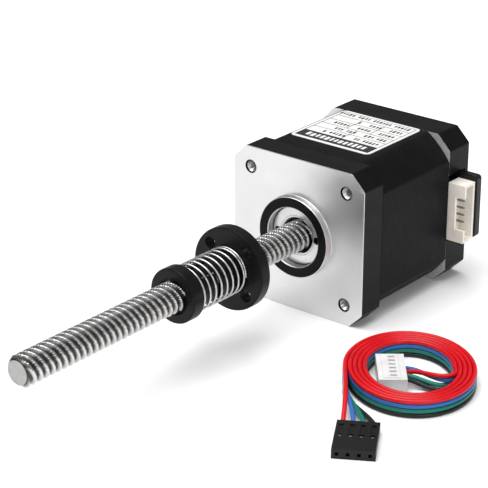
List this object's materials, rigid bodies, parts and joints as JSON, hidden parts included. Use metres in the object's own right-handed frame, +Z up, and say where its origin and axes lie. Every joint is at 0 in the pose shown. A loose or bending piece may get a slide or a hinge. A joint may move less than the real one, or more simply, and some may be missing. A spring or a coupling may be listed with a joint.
{
  "type": "stepper motor with lead screw",
  "caption": "Square stepper motor whose shaft is a long lead screw carrying a spring-loaded flanged nut, with a detachable coiled ribbon lead beside it.",
  "frame": {"origin": "middle of the underside of the motor body, on the surface that it lies on", "axes": "-Y along the screw, out of the mounting face; +X towards the connector side; +Z up"},
  "size_m": [0.0867, 0.1497, 0.0424],
  "materials": {
    "front_cap": "machined face with satin black sides",
    "rear_cap": "satin black",
    "laminations": "satin black over stacked sheet",
    "rotor_steel": "ground lamination stack",
    "magnet": "ground",
    "copper": "enamelled copper wire",
    "bearing_steel": "polished",
    "plated_steel": "zinc plated",
    "screw_steel": "rolled, lightly oiled",
    "spring_steel": "drawn wire",
    "pin_metal": "tinned",
    "nut_plastic": "machined acetal",
    "black_plastic": "moulded",
    "ivory_plastic": "moulded nylon",
    "white_plastic": "moulded nylon",
    "circuit_board": "solder mask",
    "label": "printed film label",
    "black_wire": "extruded insulation",
    "green_wire": "extruded insulation",
    "blue_wire": "extruded insulation",
    "red_wire": "extruded insulation"
  },
  "bodies": {
    "motor": {"front_end_cap": "front_cap", "rear_end_cap": "rear_cap", "stator_stack": "laminations", "front_insulator": "black_plastic", "rear_insulator": "black_plastic", "front_bearing_outer_ring": "bearing_steel", "rear_bearing_outer_ring": "bearing_steel", "bearing_retainer": "plated_steel", "wave_washer": "plated_steel", "circuit_board": "circuit_board", "connector_carrier": "black_plastic", "connector_housing": "ivory_plastic", "rating_label": "label", "lead_coil": "red_wire", "lead_plug": "white_plastic", "lead_socket": "black_plastic", "winding_1": "copper", "winding_2": "copper", "winding_3": "copper", "winding_4": "copper", "winding_5": "copper", "winding_6": "copper", "winding_7": "copper", "winding_8": "copper", "assembly_screw_1": "plated_steel", "connector_pin_1": "pin_metal", "socket_contact_1": "pin_metal", "assembly_screw_2": "plated_steel", "connector_pin_2": "pin_metal", "socket_contact_2": "pin_metal", "assembly_screw_3": "plated_steel", "connector_pin_3": "pin_metal", "socket_contact_3": "pin_metal", "assembly_screw_4": "plated_steel", "connector_pin_4": "pin_metal", "socket_contact_4": "pin_metal", "plug_wire_1": "black_wire", "socket_wire_1": "black_wire", "plug_wire_2": "green_wire", "socket_wire_2": "green_wire", "plug_wire_3": "blue_wire", "socket_wire_3": "blue_wire", "plug_wire_4": "red_wire", "socket_wire_4": "red_wire"},
    "screw_and_rotor": {"lead_screw": "screw_steel", "front_rotor_cup": "rotor_steel", "rotor_magnet": "magnet", "rear_rotor_cup": "rotor_steel", "front_shim": "plated_steel", "rear_shim": "plated_steel", "front_bearing_inner_ring": "bearing_steel", "rear_bearing_inner_ring": "bearing_steel"},
    "front_ball_cage": {"front_bearing_cage": "bearing_steel"},
    "rear_ball_cage": {"rear_bearing_cage": "bearing_steel"},
    "nut": {"nut_body": "nut_plastic", "nut_collar": "nut_plastic", "nut_spring": "spring_steel"}
  },
  "joints": [
    {"name": "screw_spin", "type": "hinge", "parent": "motor", "child": "screw_and_rotor", "pos_m": [0, -0.06, 0.02115], "axis": [0, -1, 0], "range_deg": [-2250, 990]},
    {"name": "nut_travel", "type": "slide", "parent": "motor", "child": "nut", "axis": [0, -1, 0], "range_m": [-0.0221, 0.0501]},
    {"name": "front_cage_spin", "type": "hinge", "parent": "motor", "child": "front_ball_cage", "pos_m": [0, -0.0196, 0.02115], "axis": [0, -1, 0], "range_deg": [-810, 357]},
    {"name": "rear_cage_spin", "type": "hinge", "parent": "motor", "child": "rear_ball_cage", "pos_m": [0, 0.0179, 0.02115], "axis": [0, -1, 0], "range_deg": [-810, 357]}
  ],
  "couplings": [
    {"joint": "nut_travel", "follows": "screw_spin", "m_per_rad": -0.0012732},
    {"joint": "front_cage_spin", "follows": "screw_spin", "ratio": 0.359},
    {"joint": "rear_cage_spin", "follows": "screw_spin", "ratio": 0.359}
  ]
}
